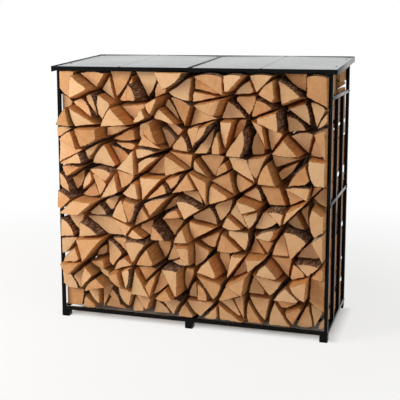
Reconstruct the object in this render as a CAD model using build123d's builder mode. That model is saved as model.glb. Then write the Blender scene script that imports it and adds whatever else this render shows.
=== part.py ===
# Firewood store: an open frame of black square tube under a galvanised lean-to roof, full of split logs.
# Millimetres. X runs along the front, Y from the front to the back, Z up from the ground.
# The origin is on the ground under the middle of the store.
from build123d import *
import math
import os
import random

# Frame, all of one square tube. The tubes are closed at every end, so each is drawn solid.
store_width = 1600.0  # outside the corner posts
store_depth = 675.0  # outside the corner posts
tube = 20.0

# Feet
foot_width = 45.0
foot_height = 40.0

# Heights on the frame
eave_height = 1490.0  # top of the front beam at its front edge
middle_rail_height = 756.0  # underside of the side rails at half height
upper_rail_clearance = 119.0  # from the top side rails up to the front beam
floor_bar_spread = 220.0  # between the two bars that run under the logs

# Roof
roof_rise = 50.0  # from the front edge to the back edge
front_overhang = 20.0  # of the beams and the roof past the posts, front and back
side_overhang = 25.0  # of the roof past the posts, left and right
beam_depth = 40.0
beam_height = 18.0
sheet = 1.5
rim = 4.0  # width of the frame's edge that shows all round the sheets
rim_rise = 7.0  # of the rim from the sheets' undersides
rim_gap = 0.5  # between the sheets and the rim
flange_drop = 25.0  # of the rim below the sheets at each end of the roof
crease_rise = 4.0  # each sheet is folded up a little along its middle
joint_gap = 2.0  # between the two sheets
cap_width = 14.0
cap_height = 5.0

# Firewood
row_gap = 7.0  # between the front row and the back row, where it is least
course_count = 10
courses_in_band = 5
side_min = 112.0  # shortest and longest side of a log that lies along its course
side_max = 208.0
wander = 40.0  # furthest that a corner of a course strays up or down
wander_least = 12.0
log_gap = 3.0  # least space between one log and the next
extra_gap = 8.0  # most that is added to it on sides where nothing rests
resting_rise = 0.8  # a side that rises by less than this share of its run has logs resting on it
post_gap = 1.0  # from the logs to the posts
beam_gap = 1.0  # from the logs to the beam over them
largest_face = 13500.0  # square millimetres; a triangle over this is split once more
largest_pair = 17500.0  # square millimetres; two neighbours up to this may be one log
smallest_face = 2000.0  # square millimetres; a space under this stays empty
pair_share = 0.3
bark_share = 0.86
heart_share = 0.55  # of the logs had their heart split off
heart_min = 0.1  # least and most of a log's split sides that went with its heart
heart_max = 0.25
bulge_min = 0.05  # least and most height of the bark's curve, as a share of its width
bulge_max = 0.12
stick_out = 105.0  # the furthest that a log's end stands out from the posts' faces
stick_out_bottom = 4.0  # the same in the bottom course, where the rail under it shows
stick_back = 34.0  # the furthest that a log's end lies behind the posts' faces
stick_spread = 0.55  # under 1, most ends stand near one of those limits, over 1, midway
seed = 7

# Worked out from the sizes above
half_width = store_width / 2
half_depth = store_depth / 2
post_centre_x = half_width - tube / 2
post_centre_y = half_depth - tube / 2
rail_bottom = foot_height
rail_top = rail_bottom + tube
roof_depth = store_depth + 2 * front_overhang
roof_half_width = half_width + side_overhang
roof_front = -roof_depth / 2
beam_bottom = eave_height - beam_height
sheet_edge = roof_half_width - rim - rim_gap
upper_rail_height = beam_bottom - upper_rail_clearance - tube
bar_centre_y = post_centre_y / 3
log_length = half_depth - stick_back - row_gap / 2

os.makedirs("parts", exist_ok=True)


def save(part, name):
    part.part.label = name
    export_step(part.part, f"parts/{name}.step")


def roof_height(y):
    """Height of the frame's top, on which the sheets lie, at a distance y from the middle."""
    return eave_height + roof_rise * (y - roof_front) / roof_depth


# Feet: plates of thick box section under the four corners and the middle of both long sides
foot_centre_x = half_width - foot_width / 2
foot_centre_y = half_depth - foot_width / 2
foot_columns = {"left": -foot_centre_x, "middle": 0.0, "right": foot_centre_x}
foot_rows = {"front": -foot_centre_y, "back": foot_centre_y}
for row, y in foot_rows.items():
    for column, x in foot_columns.items():
        with BuildPart() as foot:
            with BuildSketch():
                with Locations((x, y)):
                    Rectangle(foot_width, foot_width)
            extrude(amount=foot_height)
            chamfer(foot.edges().group_by(Axis.Z)[0], length=tube / 10)
        save(foot, f"{row}_{column}_foot")


# Corner posts: they stand on the feet and run up to the beams
beam_undersides = {"front": beam_bottom, "back": roof_height(half_depth + front_overhang) - beam_height}
post_rows = {"front": -post_centre_y, "back": post_centre_y}
post_columns = {"left": -post_centre_x, "right": post_centre_x}
for row, y in post_rows.items():
    for column, x in post_columns.items():
        with BuildPart() as post:
            with BuildSketch(Plane.XY.offset(foot_height)):
                with Locations((x, y)):
                    Rectangle(tube, tube)
            extrude(amount=beam_undersides[row] - foot_height)
        save(post, f"{row}_{column}_post")


# Base rails: front and back between the posts, on top of the feet
for row, y in post_rows.items():
    with BuildPart() as base_rail:
        with BuildSketch(Plane.XY.offset(rail_bottom)):
            with Locations((0, y)):
                Rectangle(store_width - 2 * tube, tube)
        extrude(amount=tube)
    save(base_rail, f"{row}_base_rail")


# Side rails: low, middle and high between the posts of each end
side_rail_heights = {"base": rail_bottom, "middle": middle_rail_height, "upper": upper_rail_height}
for column, x in post_columns.items():
    for level, height in side_rail_heights.items():
        with BuildPart() as side_rail:
            with BuildSketch(Plane.XY.offset(height)):
                with Locations((x, 0)):
                    Rectangle(tube, store_depth - 2 * tube)
            extrude(amount=tube)
        save(side_rail, f"{column}_{level}_rail")


# Side bars: two upright bars in each end, welded between its rails
bar_rows = {"front": -bar_centre_y, "back": bar_centre_y}
for column, x in post_columns.items():
    for row, y in bar_rows.items():
        with BuildPart() as side_bar:
            with BuildSketch(Plane.XY.offset(rail_top)):
                with Locations((x, y)):
                    Rectangle(tube, tube)
            extrude(amount=middle_rail_height - rail_top)
            with BuildSketch(Plane.XY.offset(middle_rail_height + tube)):
                with Locations((x, y)):
                    Rectangle(tube, tube)
            extrude(amount=upper_rail_height - middle_rail_height - tube)
        save(side_bar, f"{column}_{row}_side_bar")


# Floor: one cross member between the middle feet carries two long bars, which carry the logs
with BuildPart() as cross_member:
    with BuildSketch(Plane.XY.offset(rail_bottom - tube)):
        Rectangle(tube, store_depth - 2 * foot_width)
    extrude(amount=tube)
save(cross_member, "floor_cross_member")

for row, y in {"front": -floor_bar_spread / 2, "back": floor_bar_spread / 2}.items():
    with BuildPart() as floor_bar:
        with BuildSketch(Plane.XY.offset(rail_bottom)):
            with Locations((0, y)):
                Rectangle(store_width - 2 * tube, tube)
        extrude(amount=tube)
    save(floor_bar, f"{row}_floor_bar")


# Beams: flat boxes on the posts, with tops that follow the roof's slope, and a rim along their outer edge
for row, inward in {"front": 1, "back": -1}.items():
    outer = inward * roof_front
    edge = outer + inward * rim
    inner = outer + inward * beam_depth
    with BuildPart() as beam:
        with BuildSketch(Plane.YZ.offset(rim - roof_half_width)):
            with BuildLine():
                Polyline(
                    (outer, beam_undersides[row]),
                    (inner, beam_undersides[row]),
                    (inner, roof_height(inner)),
                    (edge, roof_height(edge)),
                    (edge, roof_height(edge) + rim_rise),
                    (outer, roof_height(outer) + rim_rise),
                    close=True,
                )
            make_face()
        extrude(amount=2 * (roof_half_width - rim))
    save(beam, f"{row}_beam")


# Bearers: three sloping bars between the beams, one under each end of the roof and one under its joint
bearer_run = roof_depth - 2 * beam_depth
bearer_half = bearer_run / 2
bearer_x = {"left": -post_centre_x, "middle": 0.0, "right": post_centre_x}
for column, x in bearer_x.items():
    with BuildPart() as bearer:
        with BuildSketch(Plane.YZ.offset(x - tube / 2)):
            with BuildLine():
                Polyline(
                    (-bearer_half, roof_height(-bearer_half) - tube),
                    (bearer_half, roof_height(bearer_half) - tube),
                    (bearer_half, roof_height(bearer_half)),
                    (-bearer_half, roof_height(-bearer_half)),
                    close=True,
                )
            make_face()
        extrude(amount=tube)
    save(bearer, f"{column}_roof_bearer")


# Roof sheets: two, laid side by side inside the rim, each folded up a little along its middle
roof_plane = Plane(origin=(0, roof_front, eave_height), x_dir=(1, 0, 0), z_dir=(0, -roof_depth, -roof_rise))
sheet_run = math.hypot(roof_depth, roof_rise)
sheet_start = joint_gap / 2
sheet_middle = (sheet_edge + sheet_start) / 2
for column, side in {"left": -1, "right": 1}.items():
    with BuildPart() as roof_sheet:
        with BuildSketch(roof_plane.offset(-rim - rim_gap)):
            with BuildLine():
                Polyline(
                    (side * sheet_start, 0),
                    (side * sheet_middle, crease_rise),
                    (side * sheet_edge, 0),
                    (side * sheet_edge, sheet),
                    (side * sheet_middle, crease_rise + sheet),
                    (side * sheet_start, sheet),
                    close=True,
                )
            make_face()
        extrude(amount=2 * (rim + rim_gap) - sheet_run)
    save(roof_sheet, f"{column}_roof_sheet")


# Roof flanges: flat bars across the ends of the beams, which are the rim there
for column, side in {"left": -1, "right": 1}.items():
    with BuildPart() as roof_flange:
        with BuildSketch(roof_plane):
            with Locations((side * (roof_half_width - rim / 2), (rim_rise - flange_drop) / 2)):
                Rectangle(rim, rim_rise + flange_drop)
        extrude(amount=-sheet_run)
    save(roof_flange, f"{column}_roof_flange")


# Joint cap: a strip over the joint between the sheets, resting on both, inside the rim
cap_seat = sheet + crease_rise * (cap_width / 2 - sheet_start) / (sheet_middle - sheet_start)
with BuildPart() as joint_cap:
    with BuildSketch(roof_plane.offset(-rim - rim_gap)):
        with Locations((0, cap_seat + cap_height / 2)):
            Rectangle(cap_width, cap_height)
    extrude(amount=2 * (rim + rim_gap) - sheet_run)
save(joint_cap, "roof_joint_cap")


# Firewood: each row is a mosaic of cells in courses, and each cell holds one split log.
# Corners go anticlockwise as (x, z), seen from the front.
stack_half_width = half_width - tube - post_gap
stack_bottom = rail_top - log_gap / 2
stack_tops = {
    "front": beam_bottom - beam_gap,
    "back": min(roof_height(row_gap / 2) - tube, beam_undersides["back"]) - beam_gap,
}
course_height = (stack_tops["front"] - stack_bottom) / course_count
shuffle = random.Random(seed)


def course_line(level, stack_top):
    """The corners along the top of a course: unevenly spaced, and off the level inside the stack."""
    height = stack_bottom + level * (stack_top - stack_bottom) / course_count
    spots = [-stack_half_width]
    step = shuffle.uniform(side_min / 2, side_max)
    while spots[-1] + step < stack_half_width - side_min / 2:
        spots.append(spots[-1] + step)
        step = shuffle.uniform(side_min, side_max)
    spots.append(stack_half_width)
    if level in (0, course_count):
        return [(x, height) for x in spots]
    return [(x, height + shuffle.choice((-1, 1)) * shuffle.uniform(wander_least, wander)) for x in spots]


def area(cell):
    following = cell[1:] + cell[:1]
    return sum(x * next_z - next_x * z for (x, z), (next_x, next_z) in zip(cell, following)) / 2


def between(start, end, share):
    return start[0] + share * (end[0] - start[0]), start[1] + share * (end[1] - start[1])


def distance_inside(corner, start, end):
    """How far a corner is to the left of the line from start to end, which is its inner side."""
    run_x, run_z = end[0] - start[0], end[1] - start[1]
    return (run_x * (corner[1] - start[1]) - run_z * (corner[0] - start[0])) / math.hypot(run_x, run_z)


def triangles(lower, upper):
    """Fill the course between two lines with triangles that point up and down, from left to right."""
    cells = []
    i = j = 0
    while i + 1 < len(lower) or j + 1 < len(upper):
        if i + 1 < len(lower) and j + 1 < len(upper):
            step_below = math.dist(lower[i + 1], upper[j]) <= math.dist(upper[j + 1], lower[i])
        else:
            step_below = i + 1 < len(lower)
        if step_below:
            cells.append([upper[j], lower[i], lower[i + 1]])
            i += 1
        else:
            cells.append([lower[i], upper[j + 1], upper[j]])
            j += 1
    return cells


def pair(first, second):
    """Two neighbouring triangles as one cell of four corners."""
    apex = next(corner for corner in first if corner not in second)
    far = next(corner for corner in second if corner not in first)
    start = first.index(apex)
    return [apex, first[start - 2], far, first[start - 1]]


def is_plump(cell):
    """True where every corner of a four-sided cell is well clear of the line between its neighbours."""
    return all(distance_inside(cell[k], cell[k - 1], cell[k - 3]) < -course_height / 4 for k in range(4))


def cells_of_course(lower, upper):
    """The cells of one course: its triangles, of which some stay paired and the largest are split."""
    waiting = triangles(lower, upper)
    cells = []
    while waiting:
        cell = waiting.pop(0)
        if waiting and shuffle.random() < pair_share:
            both = pair(cell, waiting[0])
            if is_plump(both) and area(both) < largest_pair:
                waiting.pop(0)
                cells.append(both)
                continue
        if area(cell) > largest_face:
            turn = shuffle.randrange(3)
            a, b, c = cell[turn:] + cell[:turn]
            middle = between(b, c, shuffle.uniform(0.4, 0.6))
            cells += [[a, b, middle], [a, middle, c]]
        else:
            cells.append(cell)
    return cells


def inset(cell, gaps):
    """The cell with each of its sides moved in by its own gap. Side k ends in corner k."""
    corners = []
    for k, corner in enumerate(cell):
        before, after = cell[k - 1], cell[(k + 1) % len(cell)]
        back = gaps[(k + 1) % len(cell)] / distance_inside(before, corner, after)
        on = gaps[k] / distance_inside(after, before, corner)
        corners.append(tuple(c + back * (b - c) + on * (a - c) for b, c, a in zip(before, corner, after)))
    return corners


def is_by_frame(start, end):
    """True for a side of a log that lies along the left or right end of the stack."""
    return min(abs(start[0]), abs(end[0])) > stack_half_width - log_gap


def clearance(start, end):
    """The space to leave along one side of a log: the least where it lies, carries or meets the frame."""
    lies = end[0] > start[0]
    carries = abs(end[1] - start[1]) < resting_rise * abs(end[0] - start[0])
    rests = lies or carries or is_by_frame(start, end)
    return log_gap / 2 + (0.0 if rests else shuffle.uniform(0, extra_gap))


def log_outline(cell):
    """The straight sides of a log's end, and the crest of its bark, or None where it has no bark."""
    cell = inset(cell, [clearance(cell[k - 1], cell[k]) for k in range(len(cell))])
    turn = shuffle.choice([k for k in range(len(cell)) if not is_by_frame(cell[k - 1], cell[k])])
    cell = cell[turn:] + cell[:turn]
    if shuffle.random() > bark_share:
        return cell, None
    bark_start, bark_end = cell[-1], cell[0]
    chord = math.dist(bark_start, bark_end)
    depths = [distance_inside(corner, bark_start, bark_end) for corner in (cell[1], cell[-2])]
    bulge = min(shuffle.uniform(bulge_min, bulge_max) * chord, min(depths) / 3)
    first = between(bark_end, cell[1], bulge / depths[0])
    last = between(bark_start, cell[-2], bulge / depths[1])
    crest_x, crest_z = between(first, last, 0.5)
    crest_x += bulge * (bark_end[1] - bark_start[1]) / chord
    crest_z -= bulge * (bark_end[0] - bark_start[0]) / chord
    heart = cell[1:-1]
    if len(heart) == 1 and shuffle.random() < heart_share:
        share = shuffle.uniform(heart_min, heart_max)
        heart = [between(heart[0], first, share), between(heart[0], last, share)]
    return [first, *heart, last], (crest_x, crest_z)


def stack_row(plane, row):
    """One row of logs across the opening, saved in bands of courses. The logs' ends stand out unevenly."""
    lines = [course_line(level, stack_tops[row]) for level in range(course_count + 1)]
    for first_course in range(0, course_count, courses_in_band):
        with BuildPart() as band:
            for course in range(first_course, min(first_course + courses_in_band, course_count)):
                for cell in cells_of_course(lines[course], lines[course + 1]):
                    if area(cell) < smallest_face:
                        continue
                    corners, crest = log_outline(cell)
                    furthest = stick_out_bottom if course == 0 else stick_out
                    share = shuffle.betavariate(stick_spread, stick_spread)
                    stand = share * (furthest + stick_back) - stick_back
                    with BuildSketch(plane.offset(half_depth + stand)):
                        with BuildLine():
                            Polyline(*corners)
                            if crest is None:
                                Line(corners[-1], corners[0])
                            else:
                                ThreePointArc(corners[-1], crest, corners[0])
                        make_face()
            extrude(amount=-log_length)
        save(band, f"{row}_logs_{first_course // courses_in_band + 1}")


stack_row(Plane.front, "front")
stack_row(Plane.back, "back")
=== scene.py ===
# Firewood store: a black square-tube frame under a galvanised roof, stacked full of split logs.
import math
import random

import bmesh
import bpy
from mathutils import Matrix, Vector, noise


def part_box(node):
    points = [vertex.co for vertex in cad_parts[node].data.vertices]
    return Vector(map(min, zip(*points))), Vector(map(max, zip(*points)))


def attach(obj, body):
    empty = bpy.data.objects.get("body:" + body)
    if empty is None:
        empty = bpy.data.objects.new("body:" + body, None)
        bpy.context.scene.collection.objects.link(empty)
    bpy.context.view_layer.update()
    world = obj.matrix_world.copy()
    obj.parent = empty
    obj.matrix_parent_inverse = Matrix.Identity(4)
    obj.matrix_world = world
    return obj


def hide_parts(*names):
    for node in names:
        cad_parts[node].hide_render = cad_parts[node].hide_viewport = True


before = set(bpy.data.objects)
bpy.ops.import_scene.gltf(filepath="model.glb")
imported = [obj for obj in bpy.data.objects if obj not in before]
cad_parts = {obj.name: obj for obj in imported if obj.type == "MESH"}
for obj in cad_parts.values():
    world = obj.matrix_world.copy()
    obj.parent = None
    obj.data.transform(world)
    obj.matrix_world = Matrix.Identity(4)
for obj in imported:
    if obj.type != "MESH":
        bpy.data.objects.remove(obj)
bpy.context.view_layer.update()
scene = bpy.context.scene


# The view: a camera a little above the store's roof and off its right front corner, at the height of
# a standing person's eyes. It looks down by a few degrees, and a small shift keeps the posts nearly
# upright in the picture.
camera_place = Vector((1.467, -4.866, 1.690))
camera_turn = math.radians(17.16)
camera_dip = math.radians(8.45)
lens_mm = 77.4
sensor_mm = 36.0
upright_shift = -0.10

camera_data = bpy.data.cameras.new("camera")
camera_data.sensor_width = sensor_mm
camera_data.lens = lens_mm
camera_data.shift_y = upright_shift
camera = bpy.data.objects.new("camera", camera_data)
camera.location = camera_place
camera.rotation_euler = (math.radians(90) - camera_dip, 0, camera_turn)
scene.collection.objects.link(camera)
scene.camera = camera
scene.view_settings.view_transform = "Standard"


# The ground: plain pale paving in a studio, whitened for the eye and more so with distance, so that no
# horizon shows. A patch right under the store isn't whitened and keeps the deepest of its shadow.
ground_colour, plain_white = "#E9E9E7", "#FFFFFF"
ground_size = 60.0
fade_start, fade_end = 1.2, 3.6
near_whitening = 0.75  # of 1, up to where the fade starts
patch_half_width, patch_half_depth = 0.80, 0.27
patch_blur = 0.06


def linear(hex_colour):
    """An sRGB hex colour as linear red, green, blue and alpha."""
    shares = [int(hex_colour[k : k + 2], 16) / 255 for k in (1, 3, 5)]
    return (*[s / 12.92 if s <= 0.04045 else ((s + 0.055) / 1.055) ** 2.4 for s in shares], 1.0)


def add_node(tree, kind, inputs=None, **settings):
    """A node of that kind, with its settings, and its inputs set to values or linked from outputs."""
    node = tree.nodes.new(kind)
    for name, value in settings.items():
        setattr(node, name, value)
    for name, value in (inputs or {}).items():
        if isinstance(value, bpy.types.NodeSocket):
            tree.links.new(value, node.inputs[name])
        else:
            node.inputs[name].default_value = value
    return node


def new_material(name):
    """An empty node material and its tree."""
    material = bpy.data.materials.new(name)
    material.use_nodes = True
    material.node_tree.nodes.clear()
    return material, material.node_tree


def seen_directly(tree):
    """1 where the camera or a reflection looks at a surface, and 0 where light is gathered from it."""
    path = add_node(tree, "ShaderNodeLightPath").outputs
    return add_node(
        tree,
        "ShaderNodeMath",
        {0: path["Is Camera Ray"], 1: path["Is Glossy Ray"]},
        operation="MAXIMUM",
    ).outputs[0]


def studio_ground():
    """Pale paving, whitened for the camera and for reflections, fully so further off."""
    material, tree = new_material("studio_ground")
    place = add_node(tree, "ShaderNodeTexCoord").outputs["Object"]
    reach = add_node(tree, "ShaderNodeVectorMath", {0: place}, operation="LENGTH").outputs["Value"]
    fade = add_node(
        tree,
        "ShaderNodeMapRange",
        {"Value": reach, "From Min": fade_start, "From Max": fade_end, "To Min": near_whitening},
    ).outputs["Result"]
    sides = add_node(tree, "ShaderNodeVectorMath", {0: place}, operation="ABSOLUTE").outputs["Vector"]
    sides = add_node(tree, "ShaderNodeSeparateXYZ", {0: sides}).outputs
    beside, before = [
        add_node(
            tree,
            "ShaderNodeMapRange",
            {"Value": side, "From Min": half - patch_blur, "From Max": half + patch_blur},
        ).outputs["Result"]
        for side, half in ((sides["X"], patch_half_width), (sides["Y"], patch_half_depth))
    ]
    clear = add_node(tree, "ShaderNodeMath", {0: beside, 1: before}, operation="MAXIMUM").outputs[0]
    fade = add_node(tree, "ShaderNodeMath", {0: fade, 1: clear}, operation="MULTIPLY").outputs[0]
    whitening = add_node(
        tree, "ShaderNodeMath", {0: fade, 1: seen_directly(tree)}, operation="MULTIPLY"
    ).outputs[0]
    stone = add_node(
        tree, "ShaderNodeBsdfDiffuse", {"Color": linear(ground_colour), "Roughness": 1.0}
    ).outputs[0]
    white = add_node(
        tree, "ShaderNodeEmission", {"Color": linear(plain_white), "Strength": 1.0}
    ).outputs[0]
    mixed = add_node(tree, "ShaderNodeMixShader", {0: whitening, 1: stone, 2: white}).outputs[0]
    add_node(tree, "ShaderNodeOutputMaterial", {"Surface": mixed})
    return material


bpy.ops.mesh.primitive_plane_add(size=ground_size)
ground = bpy.context.object
ground.name = "ground"
ground.data.materials.append(studio_ground())


# The light: a soft sky, a large soft key from the front left and above, so that each log's right side
# falls into shade as in the photograph, and a weaker fill from the front. White shows behind the
# store, and in what its metal reflects.
sky_colour, sky_strength = "#FBF8F4", 0.48
key_place, key_size, key_watts, key_colour = (-2.4, -2.5, 2.0), 1.8, 88.0, "#FFF8F0"
fill_place, fill_size, fill_watts, fill_colour = (0.4, -5.8, 1.7), 2.6, 32.0, "#FFFAF4"
lamp_target = (0.0, 0.0, 0.8)

world = bpy.data.worlds.new("studio_sky")
scene.world = world
world.use_nodes = True
sky = world.node_tree
sky.nodes.clear()
sky_light = add_node(
    sky, "ShaderNodeBackground", {"Color": linear(sky_colour), "Strength": sky_strength}
).outputs[0]
sky_white = add_node(
    sky, "ShaderNodeBackground", {"Color": linear(plain_white), "Strength": 1.0}
).outputs[0]
sky_mix = add_node(
    sky, "ShaderNodeMixShader", {0: seen_directly(sky), 1: sky_light, 2: sky_white}
).outputs[0]
add_node(sky, "ShaderNodeOutputWorld", {"Surface": sky_mix})


def soft_lamp(name, place, size, watts, colour):
    """A square area lamp at a place, turned to face the store."""
    lamp_data = bpy.data.lights.new(name, "AREA")
    lamp_data.size = size
    lamp_data.energy = watts
    lamp_data.color = linear(colour)[:3]
    lamp = bpy.data.objects.new(name, lamp_data)
    lamp.visible_glossy = False
    lamp.location = place
    lamp.rotation_euler = (Vector(lamp_target) - Vector(place)).to_track_quat("-Z", "Y").to_euler()
    scene.collection.objects.link(lamp)


soft_lamp("key_lamp", key_place, key_size, key_watts, key_colour)
soft_lamp("fill_lamp", fill_place, fill_size, fill_watts, fill_colour)


# The frame: mild steel square tube, cut and welded, then powder-coated satin black in one piece.
# The tube's corners are rounded by its rolling, and the edges of its flat parts by the coat.
tube_corner = 0.002
coat_edge = 0.0004
coat_colour, coat_dust_colour = "#060606", "#1C1B1A"
coat_smoothest, coat_roughest, coat_specular = 0.12, 0.24, 0.1
dust_least, dust_most, dust_strength = 0.52, 0.8, 0.45
smudge_mm = 111.1
peel_mm, peel_height, peel_strength = 3.6, 0.0003, 0.08
mm_per_m = 1000.0
MIX_A, MIX_B, MIX_RESULT = 6, 7, 2  # the colour sockets of a Mix node
merge_gap = 1e-5
flat_angle = math.radians(1)  # below this, two faces are one
rounded_angle = math.radians(30)  # above this, an edge is rounded
crease_angle = math.radians(50)  # above this, an edge is shaded sharp


def powder_coated_steel():
    """Satin black with a little pale dust. Its orange-peel skin is drawn coarser than the real 1 mm."""
    material, tree = new_material("powder_coated_steel")
    place = add_node(tree, "ShaderNodeTexCoord").outputs["Object"]
    peel = add_node(
        tree, "ShaderNodeTexNoise", {"Vector": place, "Scale": mm_per_m / peel_mm, "Detail": 2.0}
    ).outputs["Fac"]
    smudges = add_node(
        tree,
        "ShaderNodeTexNoise",
        {"Vector": place, "Scale": mm_per_m / smudge_mm, "Detail": 5.0, "Roughness": 0.65},
    ).outputs["Fac"]
    dust = add_node(
        tree,
        "ShaderNodeMapRange",
        {"Value": smudges, "From Min": dust_least, "From Max": dust_most, "To Max": dust_strength},
    ).outputs["Result"]
    colour = add_node(
        tree,
        "ShaderNodeMix",
        {0: dust, MIX_A: linear(coat_colour), MIX_B: linear(coat_dust_colour)},
        data_type="RGBA",
    ).outputs[MIX_RESULT]
    gloss = add_node(
        tree,
        "ShaderNodeMapRange",
        {"Value": smudges, "To Min": coat_smoothest, "To Max": coat_roughest},
    ).outputs["Result"]
    skin = add_node(
        tree, "ShaderNodeBump", {"Height": peel, "Strength": peel_strength, "Distance": peel_height}
    ).outputs["Normal"]
    shader = add_node(
        tree,
        "ShaderNodeBsdfPrincipled",
        {"Base Color": colour, "Roughness": gloss, "Normal": skin, "Specular IOR Level": coat_specular},
    ).outputs[0]
    add_node(tree, "ShaderNodeOutputMaterial", {"Surface": shader})
    return material


def merged_copy(node):
    """A bmesh copy of a CAD node's mesh, its triangles joined up and flat faces made whole."""
    shape = bmesh.new()
    shape.from_mesh(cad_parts[node].data)
    bmesh.ops.remove_doubles(shape, verts=shape.verts, dist=merge_gap)
    bmesh.ops.dissolve_limit(
        shape, angle_limit=flat_angle, verts=shape.verts, edges=shape.edges, delimit=set()
    )
    return shape


def rounded_piece(node, name, radius, material):
    """A piece with a CAD node's shape and rounded edges, which stands for that node."""
    shape = merged_copy(node)
    sharp = [edge for edge in shape.edges if edge.calc_face_angle(0) > rounded_angle]
    bmesh.ops.bevel(
        shape, geom=sharp, offset=radius, segments=2, profile=0.5, affect="EDGES", clamp_overlap=True
    )
    mesh = bpy.data.meshes.new(name)
    shape.to_mesh(mesh)
    shape.free()
    mesh.shade_smooth()
    mesh.set_sharp_from_angle(angle=crease_angle)
    mesh.materials.append(material)
    piece = bpy.data.objects.new(name, mesh)
    scene.collection.objects.link(piece)
    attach(piece, "root")
    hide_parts(node)


black_coat = powder_coated_steel()
tube_endings = ("foot", "post", "rail", "bar", "member", "bearer")
flat_endings = ("beam", "flange", "cap")
for node in [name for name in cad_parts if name.endswith(tube_endings + flat_endings)]:
    radius = coat_edge if node.endswith(flat_endings) else tube_corner
    rounded_piece(node, node + "_coated", radius, black_coat)


# The roof: two galvanised steel sheets laid in a shallow rim of the black frame, each folded up a
# little along its middle. The zinc shows faint frost-like spangles and dull grey patches, and a thin
# dark, duller line is painted along the fold as its shade.
zinc_colour, zinc_dull_colour, fold_shade_colour = "#C3C4C5", "#A6A8AA", "#3C3B39"
zinc_smoothest, zinc_roughest = 0.34, 0.5
zinc_metallic, fold_shade_metallic = 0.85, 0.25
fold_shade_width = 0.0022
spangle_mm, spangle_weight = 14.0, 0.35
dull_patch_mm = 285.7
dull_least, dull_most, dull_strength = 0.35, 0.95, 0.6
sheet_edge = 0.0003
sheet_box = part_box("right_roof_sheet")
fold_line = (sheet_box[0].x + sheet_box[1].x) / 2


def galvanised_sheet():
    """Hot-dipped zinc on sheet steel: soft mirror-like grey broken up by spangles."""
    material, tree = new_material("galvanised_sheet")
    place = add_node(tree, "ShaderNodeTexCoord").outputs["Object"]
    spangle = add_node(
        tree,
        "ShaderNodeTexVoronoi",
        {"Vector": place, "Scale": mm_per_m / spangle_mm, "Randomness": 1.0},
    ).outputs["Color"]
    shade = add_node(tree, "ShaderNodeSeparateColor", {0: spangle}).outputs[0]
    patches = add_node(
        tree,
        "ShaderNodeTexNoise",
        {"Vector": place, "Scale": mm_per_m / dull_patch_mm, "Detail": 6.0, "Roughness": 0.6},
    ).outputs["Fac"]
    dullness = add_node(
        tree, "ShaderNodeMath", {0: shade, 1: spangle_weight, 2: patches}, operation="MULTIPLY_ADD"
    ).outputs[0]
    dullness = add_node(
        tree,
        "ShaderNodeMapRange",
        {"Value": dullness, "From Min": dull_least, "From Max": dull_most, "To Max": dull_strength},
    ).outputs["Result"]
    colour = add_node(
        tree,
        "ShaderNodeMix",
        {0: dullness, MIX_A: linear(zinc_colour), MIX_B: linear(zinc_dull_colour)},
        data_type="RGBA",
    ).outputs[MIX_RESULT]
    gloss = add_node(
        tree,
        "ShaderNodeMapRange",
        {"Value": dullness, "To Min": zinc_smoothest, "To Max": zinc_roughest},
    ).outputs["Result"]

    # Painted shade: a thin dark, less metallic line along each sheet's fold, standing in for the shade
    # there.
    across = add_node(tree, "ShaderNodeSeparateXYZ", {0: place}).outputs["X"]
    across = add_node(tree, "ShaderNodeMath", {0: across}, operation="ABSOLUTE").outputs[0]
    in_fold = add_node(
        tree, "ShaderNodeMath", {0: across, 1: fold_line, 2: fold_shade_width}, operation="COMPARE"
    ).outputs[0]
    colour = add_node(
        tree,
        "ShaderNodeMix",
        {0: in_fold, MIX_A: colour, MIX_B: linear(fold_shade_colour)},
        data_type="RGBA",
    ).outputs[MIX_RESULT]
    metal = add_node(
        tree,
        "ShaderNodeMath",
        {0: in_fold, 1: fold_shade_metallic - zinc_metallic, 2: zinc_metallic},
        operation="MULTIPLY_ADD",
    ).outputs[0]
    shader = add_node(
        tree, "ShaderNodeBsdfPrincipled", {"Base Color": colour, "Roughness": gloss, "Metallic": metal}
    ).outputs[0]
    add_node(tree, "ShaderNodeOutputMaterial", {"Surface": shader})
    return material


zinc = galvanised_sheet()
for node in ("left_roof_sheet", "right_roof_sheet"):
    rounded_piece(node, node + "_zinc", sheet_edge, zinc)


# The fixings: black-plated self-drilling screws hold the roof down to its beams and bearers, and black
# button-head bolts join the side rails to the posts. Each head is a low dome on a thin washer.
screw_head = 0.0052
screw_washer = 0.0078
screw_rise = 0.0026
screw_inset = 0.013  # from the edge of the cap over the roof's joint
screw_colour, screw_metallic, screw_roughness = "#141414", 0.8, 0.45
side_screw_lines = (-0.16, 0.235)  # along each end of the roof, between its corners
bolt_head = 0.0058
bolt_washer = 0.0070
bolt_rise = 0.0034
bolt_spread = 0.7  # of the rail's height, where it has two bolts
bolt_colour, bolt_metallic, bolt_roughness = coat_colour, 0.0, 0.4
roughness_spread = 0.08
fixing_grain_mm = 1.111
washer_share = 0.3  # of the head's rise
head_sides, head_rings = 16, 6
head_crease = math.radians(40)
above_roof = 3.0  # where the look down for each screw's place on the sheet starts


def plated_steel(name, colour, metallic, roughness):
    """Small fixings: dark plating or black oxide, with a gloss that varies a little with its grain."""
    material, tree = new_material(name)
    place = add_node(tree, "ShaderNodeTexCoord").outputs["Object"]
    grain = add_node(
        tree, "ShaderNodeTexNoise", {"Vector": place, "Scale": mm_per_m / fixing_grain_mm}
    ).outputs["Fac"]
    smoothest, roughest = roughness - roughness_spread, roughness + roughness_spread
    gloss = add_node(
        tree, "ShaderNodeMapRange", {"Value": grain, "To Min": smoothest, "To Max": roughest}
    ).outputs["Result"]
    shader = add_node(
        tree,
        "ShaderNodeBsdfPrincipled",
        {"Base Color": linear(colour), "Roughness": gloss, "Metallic": metallic},
    ).outputs[0]
    add_node(tree, "ShaderNodeOutputMaterial", {"Surface": shader})
    return material


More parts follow.
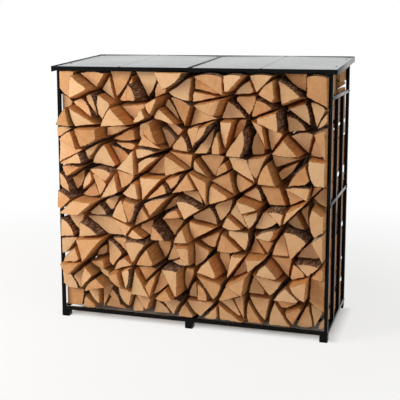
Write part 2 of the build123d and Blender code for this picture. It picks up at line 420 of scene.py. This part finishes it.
def fixing_heads():
    """A tree that puts a domed head on a washer at each point, standing along a given direction."""
    tree = bpy.data.node_groups.new("fixing_heads", "GeometryNodeTree")
    ports = tree.interface
    ports.new_socket("Points", in_out="INPUT", socket_type="NodeSocketGeometry")
    for name in ("Head Radius", "Head Rise", "Washer Radius"):
        ports.new_socket(name, in_out="INPUT", socket_type="NodeSocketFloat")
    ports.new_socket("Direction", in_out="INPUT", socket_type="NodeSocketVector")
    ports.new_socket("Finish", in_out="INPUT", socket_type="NodeSocketMaterial")
    ports.new_socket("Heads", in_out="OUTPUT", socket_type="NodeSocketGeometry")

    given = add_node(tree, "NodeGroupInput").outputs
    washer_rise = add_node(
        tree, "ShaderNodeMath", {0: given["Head Rise"], 1: washer_share}, operation="MULTIPLY"
    ).outputs[0]
    washer = add_node(
        tree,
        "GeometryNodeMeshCylinder",
        {"Vertices": head_sides, "Radius": given["Washer Radius"], "Depth": washer_rise},
    ).outputs["Mesh"]
    ball = add_node(
        tree, "GeometryNodeMeshUVSphere", {"Segments": head_sides, "Rings": head_rings, "Radius": 1.0}
    ).outputs["Mesh"]
    dome_size = add_node(
        tree,
        "ShaderNodeCombineXYZ",
        {0: given["Head Radius"], 1: given["Head Radius"], 2: given["Head Rise"]},
    ).outputs[0]
    dome = add_node(tree, "GeometryNodeTransform", {"Geometry": ball, "Scale": dome_size}).outputs[0]
    head = add_node(tree, "GeometryNodeJoinGeometry")
    tree.links.new(washer, head.inputs[0])
    tree.links.new(dome, head.inputs[0])
    stand = add_node(
        tree, "FunctionNodeAlignRotationToVector", {"Vector": given["Direction"]}, axis="Z"
    ).outputs[0]
    placed = add_node(
        tree,
        "GeometryNodeInstanceOnPoints",
        {"Points": given["Points"], "Instance": head.outputs[0], "Rotation": stand},
    ).outputs[0]
    real = add_node(tree, "GeometryNodeRealizeInstances", {0: placed}).outputs[0]
    finished = add_node(
        tree, "GeometryNodeSetMaterial", {0: real, "Material": given["Finish"]}
    ).outputs[0]
    add_node(tree, "NodeGroupOutput", {"Heads": finished})
    return tree


heads_tree = fixing_heads()


def set_fixings(name, points, direction, sizes, finish):
    """One plain mesh of fixing heads at those points, standing along that direction."""
    mesh = bpy.data.meshes.new(name + "_points")
    mesh.from_pydata(points, [], [])
    seed_piece = bpy.data.objects.new(name + "_points", mesh)
    scene.collection.objects.link(seed_piece)
    modifier = seed_piece.modifiers.new("heads", "NODES")
    modifier.node_group = heads_tree
    values = dict(zip(("Head Radius", "Head Rise", "Washer Radius"), sizes))
    values.update({"Direction": direction, "Finish": finish})
    for socket in heads_tree.interface.items_tree:
        if socket.name in values:
            modifier[socket.identifier] = values[socket.name]
    bpy.context.view_layer.update()
    evaluated = seed_piece.evaluated_get(bpy.context.evaluated_depsgraph_get())
    plain = bpy.data.meshes.new_from_object(evaluated)
    seed_piece.modifiers.clear()
    bpy.data.objects.remove(seed_piece)
    plain.shade_smooth()
    plain.set_sharp_from_angle(angle=head_crease)
    piece = bpy.data.objects.new(name, plain)
    scene.collection.objects.link(piece)
    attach(piece, "root")


screw_finish = plated_steel("plated_screw_steel", screw_colour, screw_metallic, screw_roughness)
bolt_finish = plated_steel("black_oxide_bolt_steel", bolt_colour, bolt_metallic, bolt_roughness)

beam_boxes = [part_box("front_beam"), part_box("back_beam")]
beam_lines = [(low.y + high.y) / 2 for low, high in beam_boxes]
bearer_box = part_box("right_roof_bearer")
bearer_line = (bearer_box[0].x + bearer_box[1].x) / 2
cap_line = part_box("roof_joint_cap")[1].x + screw_inset

bpy.context.view_layer.update()
for column, side in {"left": -1, "right": 1}.items():
    roof_sheet = bpy.data.objects[column + "_roof_sheet_zinc"]
    screw_spots = [(x, y) for x in (cap_line, fold_line, bearer_line) for y in beam_lines]
    screw_spots += [(bearer_line, y) for y in side_screw_lines]
    starts = [Vector((side * x, y, above_roof)) for x, y in screw_spots]
    _, places, normals, _ = zip(*[roof_sheet.ray_cast(start, Vector((0, 0, -1))) for start in starts])
    set_fixings(
        column + "_roof_screws",
        list(places),
        normals[0],
        (screw_head, screw_rise, screw_washer),
        screw_finish,
    )
    bolt_spots = []
    for row in ("front", "back"):
        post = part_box(f"{row}_{column}_post")
        face = post[1].x if side > 0 else post[0].x
        for level, shares in {"base": (0.0,), "middle": (-0.5, 0.5), "upper": (0.0,)}.items():
            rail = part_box(f"{column}_{level}_rail")
            for share in shares:
                height = (rail[0].z + rail[1].z) / 2 + share * bolt_spread * (rail[1].z - rail[0].z)
                bolt_spots.append((face, (post[0].y + post[1].y) / 2, height))
    set_fixings(
        column + "_rail_bolts",
        bolt_spots,
        (side, 0, 0),
        (bolt_head, bolt_rise, bolt_washer),
        bolt_finish,
    )


# The firewood: beech and birch rounds sawn to 30 cm and split with a wedge into pieces with two or
# three torn faces and a bark face. They are stacked dry in two rows, and their ends stand out unevenly.
bark_bend = math.radians(15)  # corners that turn by less belong to a curve of bark
split_step, bark_step = 0.016, 0.008  # between points round a log
depth_shares = (0.0, 0.012, 0.05, 0.13, 0.24, 0.38, 0.54, 0.72, 0.88, 1.0)  # of rings along a log
saw_tilt = 0.13  # the steepest slant of a sawn end, each way
saw_rim_width = 0.006
taper_least, taper_most = 0.03, 0.19
drift_least = 0.2  # of the way from a log's middle to the low point that it narrows towards
twist_share = 0.5  # of the taper, in radians
settling = 0.0012  # how far a log's inner end presses against its neighbours
held_taper = 0.3  # of the taper, for a log by the frame
held_settling = 0.0015  # how far a log presses against the frame
by_frame = 0.004  # a point of a log that is nearer the frame leans on it
split_swell, split_swell_across, split_swell_along = 0.0030, 0.034, 0.16
bark_swell, bark_swell_across, bark_swell_along = 0.0034, 0.011, 0.038
salt_most = 50.0  # sets each log's grain and swelling apart from the others'
corner_wear = 0.0010
no_bark = 10.0  # the bark's reach from the heart, for a log that has none
heart_away_least, heart_away_most = 0.05, 0.11  # from the middle of such a log
birch_share = 0.08  # of the logs
log_crease = math.radians(38)
firewood_seed = 11
END_GRAIN, SPLIT_FACE, BARK_FACE = 0, 1, 2
side_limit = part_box("right_front_side_bar")[0].x - by_frame
stack_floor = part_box("front_base_rail")[1].z


def log_prisms(node, turn):
    """Each log of a CAD node as (outline, outer end, inner end), turned to face the front.

    An outline's corners go anticlockwise as (x, z), seen from the front."""
    shape = bmesh.new()
    shape.from_mesh(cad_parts[node].data)
    bmesh.ops.remove_doubles(shape, verts=shape.verts, dist=merge_gap)
    shape.verts.ensure_lookup_table()
    seen = set()
    prisms = []
    for first in shape.verts:
        if first in seen:
            continue
        seen.add(first)
        reached = [first]
        for vert in reached:
            for edge in vert.link_edges:
                other = edge.other_vert(vert)
                if other not in seen:
                    seen.add(other)
                    reached.append(other)
        places = [(v.co.x * turn, v.co.y * turn, v.co.z) for v in reached]
        outer = min(y for x, y, z in places)
        inner = max(y for x, y, z in places)
        outline = [Vector((x, z)) for x, y, z in places if y < (outer + inner) / 2]
        centre = sum(outline, Vector((0, 0))) / len(outline)
        outline.sort(key=lambda p: math.atan2(p.y - centre.y, p.x - centre.x))
        prisms.append((outline, outer, inner))
    shape.free()
    return prisms


def circle_through(a, b, c):
    """Centre and radius of the circle through three points."""
    twice = 2 * (a.x * (b.y - c.y) + b.x * (c.y - a.y) + c.x * (a.y - b.y))
    squares = [(a.length_squared, b, c), (b.length_squared, c, a), (c.length_squared, a, b)]
    x = sum(square * (p.y - q.y) for square, p, q in squares) / twice
    y = sum(square * (q.x - p.x) for square, p, q in squares) / twice
    return Vector((x, y)), (a - Vector((x, y))).length


def outline_sides(outline):
    """The outline as runs of points, each with True where it is bark, and so bends little by little."""
    count = len(outline)
    bends = []
    for k in range(count):
        back = outline[k] - outline[k - 1]
        on = outline[(k + 1) % count] - outline[k]
        bends.append(abs(back.angle_signed(on, 0.0)) < bark_bend)
    start = bends.index(False)
    sides = []
    run = [outline[start]]
    for step in range(1, count + 1):
        k = (start + step) % count
        run.append(outline[k])
        if not bends[k]:
            sides.append((run, len(run) > 2))
            run = [outline[k]]
    return sides


def spaced(points, step, least):
    """Points evenly spaced along a run, from its first up to, and without, its last."""
    stretches = list(zip(points, points[1:]))
    total = sum((b - a).length for a, b in stretches)
    count = max(least, round(total / step))
    spots = []
    for k in range(count):
        along = total * k / count
        for a, b in stretches:
            length = (b - a).length
            if along < length:
                spots.append(a.lerp(b, along / length))
                break
            along -= length
    return spots


def swell(run, depth, salt, size, across, along):
    """How far a torn or barked face lies inside its flat, at a place round the log and along it."""
    height = noise.noise(Vector((run / across, depth / along, salt)))
    return size * min(1.0, max(0.0, 0.5 + height))


class Stack:
    """The growing mesh of one band of logs, with each face's finish, grain and marks."""

    def __init__(self):
        self.verts, self.rims = [], []
        self.faces, self.finishes, self.grain, self.marks = [], [], [], []

    def add_face(self, corners, finish, grain, marks):
        """One face, with a grain place for each corner and the marks of its log."""
        self.faces.append(corners)
        self.finishes.append(finish)
        self.grain += grain
        self.marks.append(marks)


class SplitLog:
    """One split log inside its CAD prism: rings of points from its outer end to its inner end, and ends.

    It narrows and turns a little towards its outer end, and settles against its neighbours further in.
    A log by the frame narrows towards a point on that side and leans on the frame, without a turn."""

    def __init__(self, outline, outer, inner, stack_top, chance):
        self.outer, self.inner = outer, inner
        self.centre = sum(outline, Vector((0, 0))) / len(outline)
        self.ring, self.is_bark, self.is_corner = [], [], []
        self.heart, self.bark_reach = None, no_bark
        self.lay_ring(outline)
        if self.heart is None:
            away = chance.uniform(0, math.tau)
            reach = chance.uniform(heart_away_least, heart_away_most)
            self.heart = self.centre + Vector((math.cos(away), math.sin(away))) * reach

        self.salt = chance.uniform(0, salt_most)
        lower = min(chance.choices(self.ring, k=2), key=lambda p: p.y)
        self.drift = self.centre.lerp(lower, chance.uniform(drift_least, 1.0))
        self.is_held = [abs(p.x) > side_limit or p.y > stack_top - by_frame for p in self.ring]
        held = [p for p, at_frame in zip(self.ring, self.is_held) if at_frame]
        self.taper = chance.uniform(taper_least, taper_most)
        self.twist = chance.uniform(-1, 1) * twist_share * self.taper
        self.settling = settling
        if held:
            self.drift = chance.choice(held)
            self.taper *= held_taper
            self.twist = self.settling = 0.0
        self.tilt = Vector((chance.uniform(-1, 1), chance.uniform(-1, 1))) * saw_tilt
        self.foremost = min(self.tilt.dot(p - self.centre) for p in self.ring)
        self.marks = (chance.random(), self.bark_reach, float(chance.random() < birch_share))

    def lay_ring(self, outline):
        """Points round the log, and the heart of the tree from the curve of its widest bark."""
        widest = 0.0
        for points, barked in outline_sides(outline):
            spots = spaced(points, bark_step if barked else split_step, 2)
            self.ring += spots
            self.is_bark += [barked] * len(spots)
            self.is_corner += [True] + [False] * (len(spots) - 1)
            width = (points[0] - points[-1]).length
            if barked and width > widest:
                widest = width
                middle = points[len(points) // 2]
                self.heart, self.bark_reach = circle_through(points[0], middle, points[-1])
        self.count = len(self.ring)
        self.runs = [0.0]
        for k in range(self.count):
            side = self.ring[(k + 1) % self.count] - self.ring[k]
            self.runs.append(self.runs[-1] + side.length)

    def end_depth(self, p):
        """How far back the slanting sawn end lies at a point."""
        return self.outer + self.tilt.dot(p - self.centre) - self.foremost

    def surface_sink(self, k, share):
        """How far the surface lies inside the outline at a point of the ring and a share of depth."""
        if self.is_held[k]:
            return -held_settling
        if self.is_bark[k] or self.is_bark[k - 1]:
            waves = (bark_swell, bark_swell_across, bark_swell_along)
        else:
            waves = (split_swell, split_swell_across, split_swell_along)
        depth = share * (self.inner - self.outer)
        sink = (1.0 - share) * swell(self.runs[k], depth, self.salt, *waves) - self.settling * share**2
        return sink + corner_wear * (self.is_corner[k] + (share in (0.0, 1.0)))

    def add_points(self, stack, turn):
        """The rings, then the front end's inner rim, and the middles of both ends."""
        start = len(stack.verts)
        for share in depth_shares:
            narrowing = self.taper * (1.0 - share) ** 3
            turned = Matrix.Rotation(self.twist * (1.0 - share) ** 2, 2)
            for k, p in enumerate(self.ring):
                along = self.ring[(k + 1) % self.count] - self.ring[k - 1]
                inward = Vector((-along.y, along.x)).normalized()
                arm = turned @ ((p - self.centre) * (1.0 - narrowing))
                middle = self.centre.lerp(self.drift, narrowing)
                place = middle + arm + inward * self.surface_sink(k, share)
                depth = self.end_depth(p) + share * (self.inner - self.end_depth(p))
                stack.verts.append((place.x * turn, depth * turn, max(place.y, stack_floor)))
                stack.rims.append(float(share == 0.0))
        middle = self.centre.lerp(self.drift, self.taper)
        for x, y, z in stack.verts[start : start + self.count]:
            edge = Vector((x * turn, z))
            place = edge + (middle - edge).normalized() * saw_rim_width
            stack.verts.append((place.x * turn, self.end_depth(place) * turn, place.y))
        stack.verts.append((middle.x * turn, self.end_depth(middle) * turn, middle.y))
        stack.verts.append((self.centre.x * turn, self.inner * turn, self.centre.y))
        stack.rims += [0.0] * (self.count + 2)

    def add_end_face(self, stack, corners, turn):
        """A face across the grain, which is measured from the heart."""
        spots = [stack.verts[corner] for corner in corners]
        grain = [(x * turn - self.heart.x, z - self.heart.y) for x, y, z in spots]
        stack.add_face(corners, END_GRAIN, grain, self.marks)

    def add_to(self, stack, turn):
        """The log's points and faces, in the stack's own mesh."""
        start = len(stack.verts)
        self.add_points(stack, turn)
        last = start + (len(depth_shares) - 1) * self.count
        rim = last + self.count
        front_middle, back_middle = rim + self.count, rim + self.count + 1
        depths = [share * (self.inner - self.outer) for share in depth_shares]
        for k in range(self.count):
            on = (k + 1) % self.count
            finish = BARK_FACE if self.is_bark[k] else SPLIT_FACE
            here, there = self.runs[k] + self.salt, self.runs[k + 1] + self.salt
            for level, (near_depth, far_depth) in enumerate(zip(depths, depths[1:])):
                near, far = start + level * self.count, start + (level + 1) * self.count
                grain = [(here, near_depth), (here, far_depth), (there, far_depth), (there, near_depth)]
                stack.add_face((near + k, far + k, far + on, near + on), finish, grain, self.marks)
            self.add_end_face(stack, (start + k, start + on, rim + on, rim + k), turn)
            self.add_end_face(stack, (rim + k, rim + on, front_middle), turn)
            self.add_end_face(stack, (last + on, last + k, back_middle), turn)


# Sawn ends of hardwood: tan to orange, with growth rings about the heart, a few darker rays, and a
# paler furry rim with torn brown nicks where the saw tore the fibres. Rings are drawn coarser than the
# real 2 mm, and splinters coarser than the real 1 mm.
end_pale, end_tan, end_orange, end_brown = "#DFB98F", "#DAAD80", "#D19E6F", "#C38C5C"
end_rim, end_bark, end_torn = "#E6C7A2", "#3A281C", "#5E361A"
tan_at, orange_at = 0.4, 0.75  # on the way from pale to brown
end_patch_mm, end_patch_weight = 38.46, 1.1
end_tone_least, end_tone_most = 0.5, 1.65
ring_mm, ring_wobble_mm, ring_wobble, ring_contrast = 5.0, 62.5, 0.016, 0.03
rays_per_radian = 24.0  # about the heart
ray_least, ray_most, ray_dark, ray_light = 0.3, 0.7, 0.88, 1.07
heartwood_starts, heartwood_ends, heartwood_strength = 0.55, 0.2, 0.4  # of the bark's reach
fur_starts, fur_strength = 0.35, 0.6  # of the way from the rim's inner edge to the outer
splinter_mm, tear_weight, tear_starts, tear_ends = 7.0, 0.62, 0.88, 0.98
bark_thickness = 0.004
saw_sway_mm, saw_sway_weight = 53.3, 0.6
diagonal_wave_mm = 200 * math.pi / math.sqrt(2)  # between bands of a Wave texture at a scale of one
end_relief, end_relief_strength = 0.001, 0.4
end_roughness, end_specular = 0.85, 0.2


def sawn_end_grain():
    """Matt, finely furred wood across the grain."""
    material, tree = new_material("sawn_end_grain")
    grain = add_node(tree, "ShaderNodeUVMap", uv_map="grain").outputs["UV"]
    tone = add_node(tree, "ShaderNodeAttribute", attribute_name="log_tone").outputs["Fac"]
    reach = add_node(tree, "ShaderNodeAttribute", attribute_name="bark_reach").outputs["Fac"]
    rim = add_node(tree, "ShaderNodeAttribute", attribute_name="rim").outputs["Fac"]
    place = add_node(tree, "ShaderNodeTexCoord").outputs["Object"]

    patches = add_node(
        tree,
        "ShaderNodeTexNoise",
        {"Vector": place, "Scale": mm_per_m / end_patch_mm, "Detail": 6.0, "Roughness": 0.7},
    ).outputs["Fac"]
    body = add_node(
        tree, "ShaderNodeMath", {0: patches, 1: end_patch_weight, 2: tone}, operation="MULTIPLY_ADD"
    ).outputs[0]
    body = add_node(
        tree,
        "ShaderNodeMapRange",
        {"Value": body, "From Min": end_tone_least, "From Max": end_tone_most},
    ).outputs["Result"]
    wood = add_node(tree, "ShaderNodeValToRGB", {0: body})
    ramp = wood.color_ramp.elements
    ramp[0].color = linear(end_pale)
    ramp[1].color = linear(end_brown)
    ramp.new(tan_at).color = linear(end_tan)
    ramp.new(orange_at).color = linear(end_orange)

    radius = add_node(tree, "ShaderNodeVectorMath", {0: grain}, operation="LENGTH").outputs["Value"]
    wobble = add_node(
        tree, "ShaderNodeTexNoise", {"Vector": grain, "Scale": mm_per_m / ring_wobble_mm, "Detail": 4.0}
    ).outputs["Fac"]
    wavy_radius = add_node(
        tree, "ShaderNodeMath", {0: wobble, 1: ring_wobble, 2: radius}, operation="MULTIPLY_ADD"
    ).outputs[0]
    ring_turn = add_node(
        tree, "ShaderNodeMath", {0: wavy_radius, 1: math.tau * mm_per_m / ring_mm}, operation="MULTIPLY"
    ).outputs[0]
    rings = add_node(tree, "ShaderNodeMath", {0: ring_turn}, operation="SINE").outputs[0]
    outward = add_node(tree, "ShaderNodeVectorMath", {0: grain}, operation="NORMALIZE").outputs[0]
    rays = add_node(
        tree,
        "ShaderNodeTexNoise",
        {"Vector": outward, "W": radius, "Scale": rays_per_radian, "Detail": 5.0, "Roughness": 0.7},
        noise_dimensions="4D",
    ).outputs["Fac"]
    shade = add_node(
        tree,
        "ShaderNodeMapRange",
        {
            "Value": rays,
            "From Min": ray_least,
            "From Max": ray_most,
            "To Min": ray_dark,
            "To Max": ray_light,
        },
    ).outputs["Result"]
    shade = add_node(
        tree, "ShaderNodeMath", {0: rings, 1: ring_contrast, 2: shade}, operation="MULTIPLY_ADD"
    ).outputs[0]
    colour = add_node(
        tree,
        "ShaderNodeMix",
        {0: 1.0, MIX_A: wood.outputs[0], MIX_B: shade},
        data_type="RGBA",
        blend_type="MULTIPLY",
    ).outputs[MIX_RESULT]

    from_heart = add_node(tree, "ShaderNodeMath", {0: radius, 1: reach}, operation="DIVIDE").outputs[0]
    heartwood = add_node(
        tree,
        "ShaderNodeMapRange",
        {
            "Value": from_heart,
            "From Min": heartwood_ends,
            "From Max": heartwood_starts,
            "To Min": heartwood_strength,
            "To Max": 0.0,
        },
    ).outputs["Result"]
    barked = add_node(
        tree, "ShaderNodeMath", {0: reach, 1: no_bark / 2}, operation="LESS_THAN"
    ).outputs[0]
    heartwood = add_node(
        tree, "ShaderNodeMath", {0: heartwood, 1: barked}, operation="MULTIPLY"
    ).outputs[0]
    colour = add_node(
        tree, "ShaderNodeMix", {0: heartwood, MIX_A: colour, MIX_B: linear(end_brown)}, data_type="RGBA"
    ).outputs[MIX_RESULT]
    fur = add_node(
        tree, "ShaderNodeMapRange", {"Value": rim, "From Min": fur_starts, "To Max": fur_strength}
    ).outputs["Result"]
    colour = add_node(
        tree, "ShaderNodeMix", {0: fur, MIX_A: colour, MIX_B: linear(end_rim)}, data_type="RGBA"
    ).outputs[MIX_RESULT]
    splinters = add_node(
        tree, "ShaderNodeTexNoise", {"Vector": place, "Scale": mm_per_m / splinter_mm, "Detail": 1.0}
    ).outputs["Fac"]
    torn_rim = add_node(
        tree, "ShaderNodeMath", {0: rim, 1: tear_weight, 2: splinters}, operation="MULTIPLY_ADD"
    ).outputs[0]
    torn = add_node(
        tree, "ShaderNodeMapRange", {"Value": torn_rim, "From Min": tear_starts, "From Max": tear_ends}
    ).outputs["Result"]
    colour = add_node(
        tree, "ShaderNodeMix", {0: torn, MIX_A: colour, MIX_B: linear(end_torn)}, data_type="RGBA"
    ).outputs[MIX_RESULT]
    bark_start = add_node(
        tree, "ShaderNodeMath", {0: reach, 1: bark_thickness}, operation="SUBTRACT"
    ).outputs[0]
    in_bark = add_node(
        tree, "ShaderNodeMath", {0: radius, 1: bark_start}, operation="GREATER_THAN"
    ).outputs[0]
    colour = add_node(
        tree, "ShaderNodeMix", {0: in_bark, MIX_A: colour, MIX_B: linear(end_bark)}, data_type="RGBA"
    ).outputs[MIX_RESULT]

    saw_sway = add_node(
        tree,
        "ShaderNodeTexWave",
        {"Vector": place, "Scale": diagonal_wave_mm / saw_sway_mm, "Distortion": 2.0, "Detail": 2.0},
        bands_direction="DIAGONAL",
    ).outputs["Fac"]
    height = add_node(
        tree, "ShaderNodeMath", {0: saw_sway, 1: saw_sway_weight, 2: rays}, operation="MULTIPLY_ADD"
    ).outputs[0]
    relief = add_node(
        tree,
        "ShaderNodeBump",
        {"Height": height, "Strength": end_relief_strength, "Distance": end_relief},
    ).outputs["Normal"]
    shader = add_node(
        tree,
        "ShaderNodeBsdfPrincipled",
        {
            "Base Color": colour,
            "Roughness": end_roughness,
            "Normal": relief,
            "Specular IOR Level": end_specular,
        },
    ).outputs[0]
    add_node(tree, "ShaderNodeOutputMaterial", {"Surface": shader})
    return material


# Torn split faces of the same wood: long fibres, lighter ridges and darker hollows, and grey where
# the weather has reached them. Fibres are drawn coarser than the real 1 mm.
split_light, split_brown, split_grey = "#EDB172", "#B9783C", "#B59676"
fibre_mm, fibre_stretch = 10.0, 0.07
fibre_least, fibre_most = 0.3, 0.7
grey_patch_mm, grey_least, grey_most, grey_strength = 142.9, 0.52, 0.75, 0.6
split_bright, split_dim = 1.1, 0.8
split_relief, split_relief_strength = 0.003, 0.7
split_roughness, split_specular = 0.75, 0.25


def split_wood():
    """Ribbed, fibrous wood along the grain, a little silky."""
    material, tree = new_material("split_wood")
    grain = add_node(tree, "ShaderNodeUVMap", uv_map="grain").outputs["UV"]
    tone = add_node(tree, "ShaderNodeAttribute", attribute_name="log_tone").outputs["Fac"]
    place = add_node(tree, "ShaderNodeTexCoord").outputs["Object"]
    drawn = add_node(
        tree, "ShaderNodeMapping", {"Vector": grain, "Scale": (1.0, fibre_stretch, 1.0)}
    ).outputs[0]
    fibres = add_node(
        tree,
        "ShaderNodeTexNoise",
        {
            "Vector": drawn,
            "Scale": mm_per_m / fibre_mm,
            "Detail": 6.0,
            "Roughness": 0.62,
            "Distortion": 0.3,
        },
    ).outputs["Fac"]
    contrast = add_node(
        tree, "ShaderNodeMapRange", {"Value": fibres, "From Min": fibre_least, "From Max": fibre_most}
    ).outputs["Result"]
    colour = add_node(
        tree,
        "ShaderNodeMix",
        {0: contrast, MIX_A: linear(split_brown), MIX_B: linear(split_light)},
        data_type="RGBA",
    ).outputs[MIX_RESULT]
    weather = add_node(
        tree, "ShaderNodeTexNoise", {"Vector": place, "Scale": mm_per_m / grey_patch_mm, "Detail": 4.0}
    ).outputs["Fac"]
    greyed = add_node(
        tree,
        "ShaderNodeMapRange",
        {"Value": weather, "From Min": grey_least, "From Max": grey_most, "To Max": grey_strength},
    ).outputs["Result"]
    colour = add_node(
        tree, "ShaderNodeMix", {0: greyed, MIX_A: colour, MIX_B: linear(split_grey)}, data_type="RGBA"
    ).outputs[MIX_RESULT]
    shade = add_node(
        tree, "ShaderNodeMapRange", {"Value": tone, "To Min": split_bright, "To Max": split_dim}
    ).outputs["Result"]
    colour = add_node(
        tree,
        "ShaderNodeMix",
        {0: 1.0, MIX_A: colour, MIX_B: shade},
        data_type="RGBA",
        blend_type="MULTIPLY",
    ).outputs[MIX_RESULT]
    relief = add_node(
        tree,
        "ShaderNodeBump",
        {"Height": fibres, "Strength": split_relief_strength, "Distance": split_relief},
    ).outputs["Normal"]
    shader = add_node(
        tree,
        "ShaderNodeBsdfPrincipled",
        {
            "Base Color": colour,
            "Roughness": split_roughness,
            "Normal": relief,
            "Specular IOR Level": split_specular,
        },
    ).outputs[0]
    add_node(tree, "ShaderNodeOutputMaterial", {"Surface": shader})
    return material


# Bark: rough plates and furrows along the log, left on when it was split. It is brown with worn pale
# ridges on most logs, and papery pale with darker flecks on the birch.
bark_furrow, bark_brown, bark_ridge = "#3A1E0E", "#8A6850", "#BBA08A"
birch_pale, birch_fleck = "#CBBBA4", "#715A43"
plate_mm, plate_stretch, furrow_share = 14.0, 0.14, 0.22
ruffle_mm, ruffle_bend = 6.7, (0.008, 0.008, 0.0)
ridge_weight = 0.65
bark_tone_least, bark_tone_most, brown_at = 0.35, 1.25, 0.5
fleck_least, fleck_most = 0.56, 0.64
bark_relief, bark_relief_strength = 0.004, 0.9
bark_roughness, bark_specular = 0.9, 0.15


def tree_bark():
    """Dry, furrowed and quite matt."""
    material, tree = new_material("tree_bark")
    grain = add_node(tree, "ShaderNodeUVMap", uv_map="grain").outputs["UV"]
    birch = add_node(tree, "ShaderNodeAttribute", attribute_name="birch").outputs["Fac"]
    drawn = add_node(
        tree, "ShaderNodeMapping", {"Vector": grain, "Scale": (1.0, plate_stretch, 1.0)}
    ).outputs[0]
    ruffle = add_node(
        tree,
        "ShaderNodeTexNoise",
        {"Vector": drawn, "Scale": mm_per_m / ruffle_mm, "Detail": 6.0, "Roughness": 0.7},
    ).outputs["Fac"]
    bent = add_node(
        tree, "ShaderNodeVectorMath", {0: ruffle, 1: ruffle_bend, 2: drawn}, operation="MULTIPLY_ADD"
    ).outputs[0]
    plates = add_node(
        tree,
        "ShaderNodeTexVoronoi",
        {"Vector": bent, "Scale": mm_per_m / plate_mm},
        feature="DISTANCE_TO_EDGE",
    ).outputs["Distance"]
    ridge = add_node(
        tree, "ShaderNodeMapRange", {"Value": plates, "From Max": furrow_share}
    ).outputs["Result"]
    height = add_node(
        tree, "ShaderNodeMath", {0: ridge, 1: ridge_weight, 2: ruffle}, operation="MULTIPLY_ADD"
    ).outputs[0]
    shade = add_node(
        tree,
        "ShaderNodeMapRange",
        {"Value": height, "From Min": bark_tone_least, "From Max": bark_tone_most},
    ).outputs["Result"]
    tint = add_node(tree, "ShaderNodeValToRGB", {0: shade})
    ramp = tint.color_ramp.elements
    ramp[0].color = linear(bark_furrow)
    ramp[1].color = linear(bark_ridge)
    ramp.new(brown_at).color = linear(bark_brown)
    flecks = add_node(
        tree, "ShaderNodeMapRange", {"Value": ruffle, "From Min": fleck_least, "From Max": fleck_most}
    ).outputs["Result"]
    papery = add_node(
        tree,
        "ShaderNodeMix",
        {0: flecks, MIX_A: linear(birch_pale), MIX_B: linear(birch_fleck)},
        data_type="RGBA",
    ).outputs[MIX_RESULT]
    colour = add_node(
        tree, "ShaderNodeMix", {0: birch, MIX_A: tint.outputs[0], MIX_B: papery}, data_type="RGBA"
    ).outputs[MIX_RESULT]
    relief = add_node(
        tree,
        "ShaderNodeBump",
        {"Height": height, "Strength": bark_relief_strength, "Distance": bark_relief},
    ).outputs["Normal"]
    shader = add_node(
        tree,
        "ShaderNodeBsdfPrincipled",
        {
            "Base Color": colour,
            "Roughness": bark_roughness,
            "Normal": relief,
            "Specular IOR Level": bark_specular,
        },
    ).outputs[0]
    add_node(tree, "ShaderNodeOutputMaterial", {"Surface": shader})
    return material


# The stack: a back row and a front row of loose logs, laid dry with nothing between them, each in two
# bands, one on the other. The back row's logs are turned about, so that their ends face the back.
wood_finishes = (sawn_end_grain(), split_wood(), tree_bark())
chance = random.Random(firewood_seed)
log_nodes = sorted(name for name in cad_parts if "_logs_" in name)
for node in log_nodes:
    row = node.split("_")[0]
    turn = -1 if row == "back" else 1
    stack_top = max(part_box(name)[1].z for name in log_nodes if name.startswith(row))
    stack = Stack()
    for outline, outer, inner in log_prisms(node, turn):
        SplitLog(outline, outer, inner, stack_top, chance).add_to(stack, turn)
    mesh = bpy.data.meshes.new(node + "_split")
    mesh.from_pydata(stack.verts, [], stack.faces)
    for finish in wood_finishes:
        mesh.materials.append(finish)
    mesh.polygons.foreach_set("material_index", stack.finishes)
    grain_map = mesh.uv_layers.new(name="grain")
    grain_map.data.foreach_set("uv", [number for corner in stack.grain for number in corner])
    for index, name in enumerate(("log_tone", "bark_reach", "birch")):
        layer = mesh.attributes.new(name, "FLOAT", "FACE")
        layer.data.foreach_set("value", [marks[index] for marks in stack.marks])
    mesh.attributes.new("rim", "FLOAT", "POINT").data.foreach_set("value", stack.rims)
    mesh.shade_smooth()
    mesh.set_sharp_from_angle(angle=log_crease)
    piece = bpy.data.objects.new(node + "_split", mesh)
    scene.collection.objects.link(piece)
    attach(piece, "root")
    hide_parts(node)
